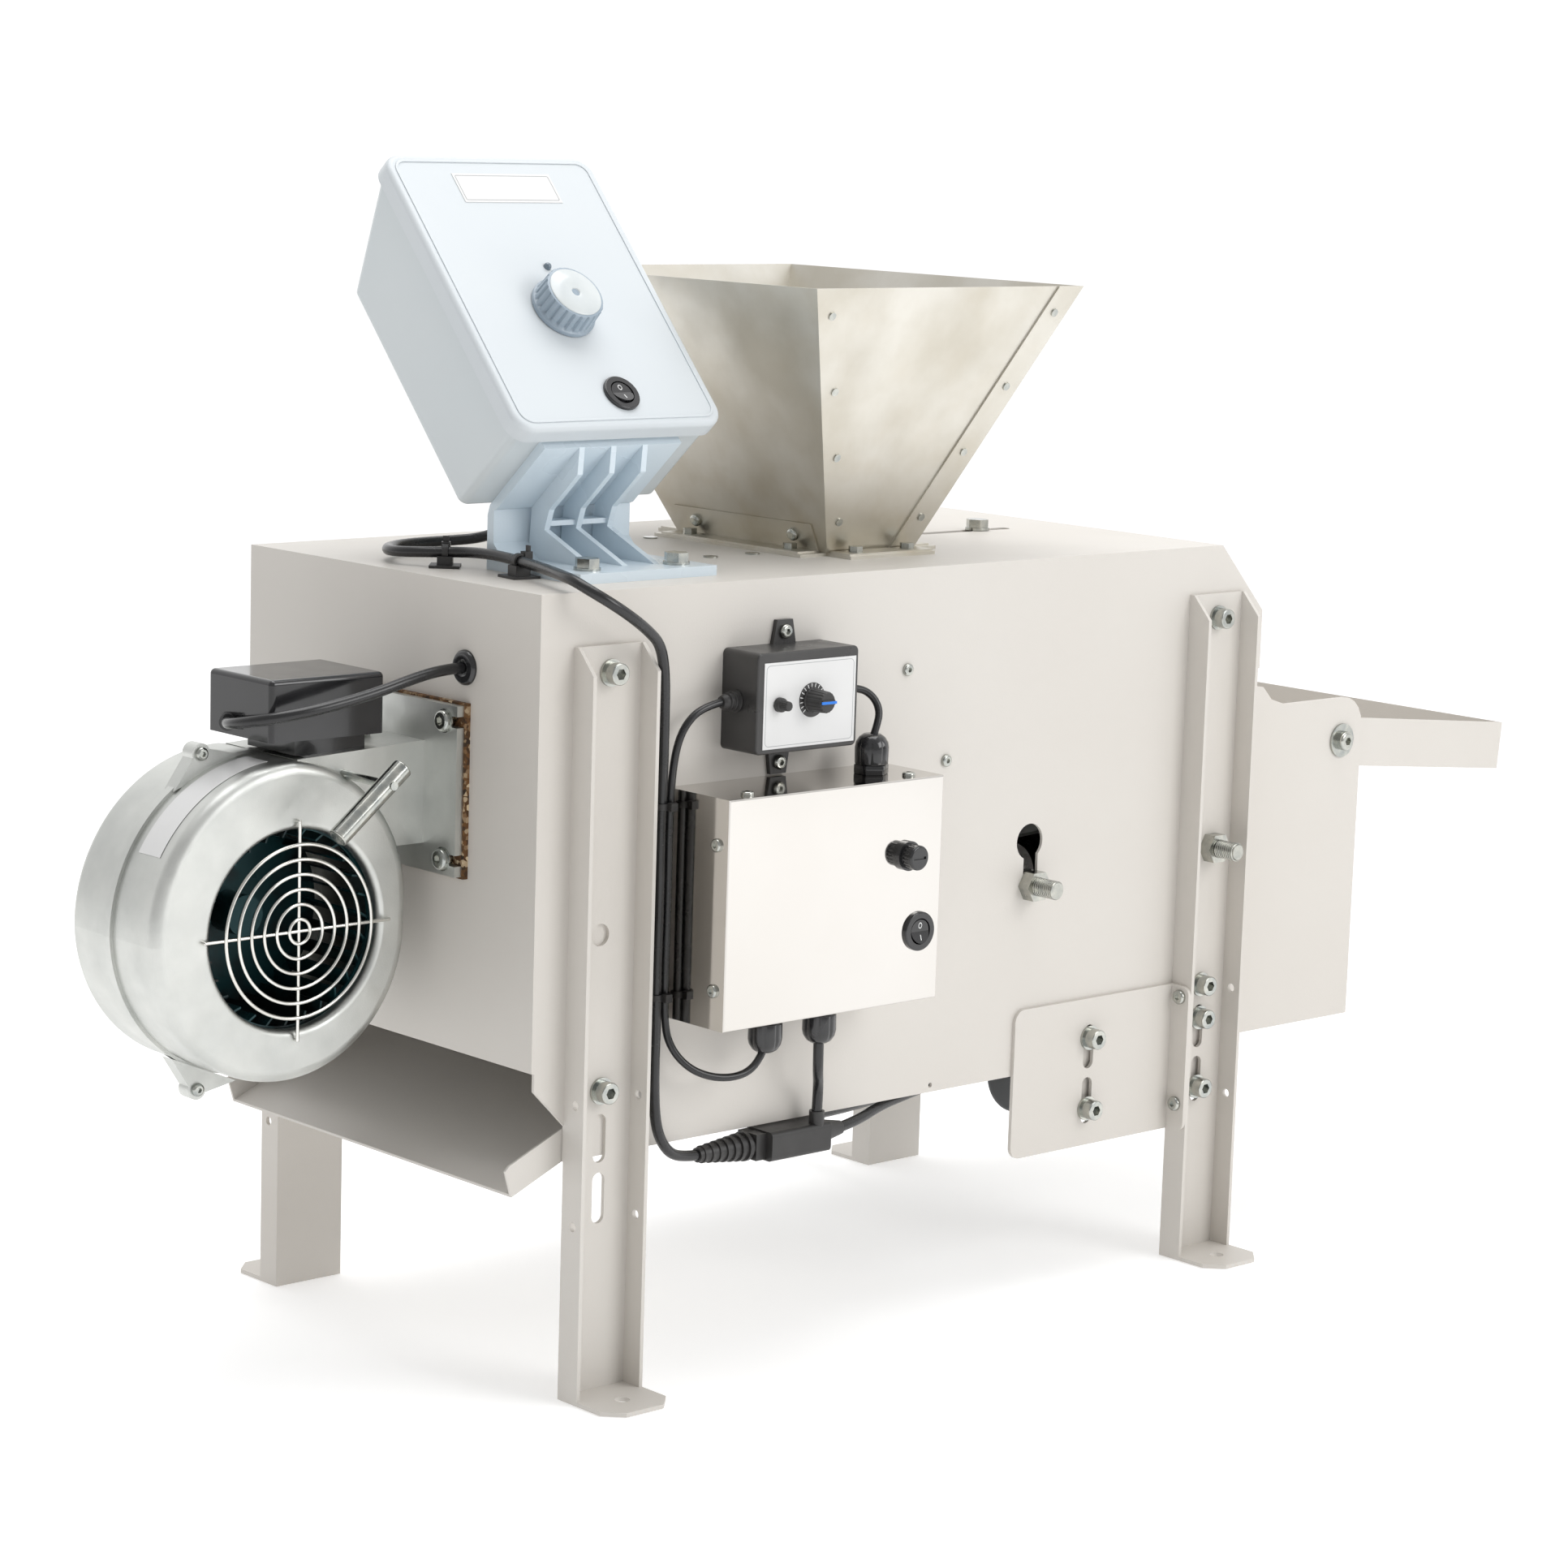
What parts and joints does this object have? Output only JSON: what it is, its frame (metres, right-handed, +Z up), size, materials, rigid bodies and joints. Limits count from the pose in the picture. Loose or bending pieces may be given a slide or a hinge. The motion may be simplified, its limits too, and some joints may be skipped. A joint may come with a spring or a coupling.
{
  "type": "seed and pollen cleaner",
  "caption": "Bench-top air cleaner for seed or pollen: sheet housing on channel legs, steel hopper, side blower, speed controls, chute and tilting tray.",
  "frame": {"origin": "midway between the four foot bolt holes, at the level the feet stand on", "axes": "+X from the blower end towards the tray, +Y from the side with the supply box to the plain side, +Z up"},
  "size_m": [1.0831, 0.6786, 0.7123],
  "materials": {
    "painted_housing": "semi-gloss powder coat",
    "hopper_steel": "dull sheet steel",
    "zinc_steel": "satin",
    "cast_aluminium": "die cast",
    "painted_box": "semi-gloss",
    "polished_steel": "mirror polish",
    "chrome_wire": "polished",
    "black_plastic": "fine grain",
    "gloss_black_plastic": "gloss",
    "lead_rubber": "satin",
    "cork_gasket": "granular",
    "motor_paint": "satin",
    "roller_aluminium": "turned",
    "belt_rubber": "matte",
    "lamp_lens": "clear",
    "label_film": "matte"
  },
  "bodies": {
    "machine": {"blank_labels": "label_film", "blower_end_wall": "painted_housing", "blower_front_housing": "cast_aluminium", "blower_gasket": "cork_gasket", "blower_lead": "lead_rubber", "blower_motor": "motor_paint", "blower_rear_housing": "cast_aluminium", "blower_screws": "zinc_steel", "cable_glands": "black_plastic", "cable_ties": "black_plastic", "control_box_body": "painted_box", "control_box_foot": "painted_box", "control_box_lid": "painted_box", "control_lamp": "lamp_lens", "control_lead": "lead_rubber", "controller_leads": "lead_rubber", "conveyor_belt": "belt_rubber", "cord_coupler": "black_plastic", "drive_belt": "belt_rubber", "far_legs": "painted_housing", "far_side_panel": "painted_housing", "fuse_holder": "gloss_black_plastic", "gearmotor": "motor_paint", "hopper_base": "hopper_steel", "hopper_end_walls": "hopper_steel", "hopper_rivets": "zinc_steel", "hopper_side_walls": "hopper_steel", "inlet_grille": "chrome_wire", "mains_coil": "lead_rubber", "mains_lead": "lead_rubber", "mains_plug": "lead_rubber", "motor_bracket": "painted_housing", "motor_plate": "painted_housing", "near_legs": "painted_housing", "near_side_panel": "painted_housing", "panel_screws": "zinc_steel", "roller_axles": "zinc_steel", "seed_chute": "painted_housing", "speed_controller_case": "black_plastic", "supply_box_back": "polished_steel", "supply_box_cover": "polished_steel", "supply_lead": "lead_rubber", "switch_bezels": "black_plastic", "terminal_box": "gloss_black_plastic", "top_cover": "painted_housing", "zinc_bolts": "zinc_steel"},
    "impeller_drum": {"impeller": "black_plastic"},
    "outlet_damper": {"damper_flap": "zinc_steel"},
    "main_knob": {"control_knob": "black_plastic"},
    "control_switch": {"control_rocker": "black_plastic"},
    "speed_dial": {"speed_knob": "black_plastic"},
    "trim_dial": {"trim_knob": "black_plastic"},
    "supply_switch": {"supply_rocker": "black_plastic"},
    "fuse_carrier": {"fuse_cap": "gloss_black_plastic"},
    "gear_pulley": {"motor_pulley": "black_plastic"},
    "drive_roll": {"drive_roller": "roller_aluminium"},
    "idler_roll": {"idler_roller": "roller_aluminium"},
    "tray": {"tilting_tray": "painted_housing"},
    "baffle": {"air_baffle": "painted_housing", "baffle_bolt": "zinc_steel"}
  },
  "joints": [
    {"name": "impeller_spin", "type": "hinge", "parent": "machine", "child": "impeller_drum", "pos_m": [-0.4101, -0.0115, 0.2785], "axis": [0, 1, 0], "continuous": true},
    {"name": "damper_turn", "type": "hinge", "parent": "machine", "child": "outlet_damper", "pos_m": [-0.3736, -0.0115, 0.3645], "axis": [0, -1, 0], "range_deg": [0, 40]},
    {"name": "main_knob_turn", "type": "hinge", "parent": "machine", "child": "main_knob", "pos_m": [-0.2086, -0.03221, 0.62571], "axis": [0, -0.7431, 0.6691], "range_deg": [-135, 135]},
    {"name": "control_switch_rock", "type": "hinge", "parent": "machine", "child": "control_switch", "pos_m": [-0.1971, -0.07451, 0.57903], "axis": [1, 0, 0], "range_deg": [0, 12]},
    {"name": "speed_dial_turn", "type": "hinge", "parent": "machine", "child": "speed_dial", "pos_m": [-0.1276, -0.1815, 0.4053], "axis": [0, -1, 0], "range_deg": [-135, 135]},
    {"name": "trim_dial_turn", "type": "hinge", "parent": "machine", "child": "trim_dial", "pos_m": [-0.1539, -0.1795, 0.4044], "axis": [0, -1, 0], "range_deg": [-135, 135]},
    {"name": "supply_switch_rock", "type": "hinge", "parent": "machine", "child": "supply_switch", "pos_m": [-0.0568, -0.1967, 0.2628], "axis": [1, 0, 0], "range_deg": [0, 12]},
    {"name": "fuse_carrier_turn", "type": "hinge", "parent": "machine", "child": "fuse_carrier", "pos_m": [-0.0686, -0.2015, 0.3101], "axis": [0, -1, 0], "range_deg": [0, 90]},
    {"name": "gear_pulley_spin", "type": "hinge", "parent": "machine", "child": "gear_pulley", "pos_m": [0.2059, -0.1215, 0.136], "axis": [0, 1, 0], "continuous": true},
    {"name": "drive_roll_spin", "type": "hinge", "parent": "machine", "child": "drive_roll", "pos_m": [0.2609, 0, 0.2743], "axis": [0, 1, 0], "continuous": true},
    {"name": "idler_roll_spin", "type": "hinge", "parent": "machine", "child": "idler_roll", "pos_m": [0.0944, 0, 0.266], "axis": [0, 1, 0], "continuous": true},
    {"name": "tray_tilt", "type": "hinge", "parent": "machine", "child": "tray", "pos_m": [0.3918, 0, 0.3345], "axis": [0, 1, 0], "range_deg": [-12, 15]},
    {"name": "baffle_slide", "type": "slide", "parent": "machine", "child": "baffle", "axis": [1, 0, 0], "range_m": [-0.05, 0.024]}
  ],
  "couplings": [
    {"joint": "drive_roll_spin", "follows": "gear_pulley_spin", "ratio": 0.72},
    {"joint": "idler_roll_spin", "follows": "gear_pulley_spin", "ratio": 0.72}
  ]
}
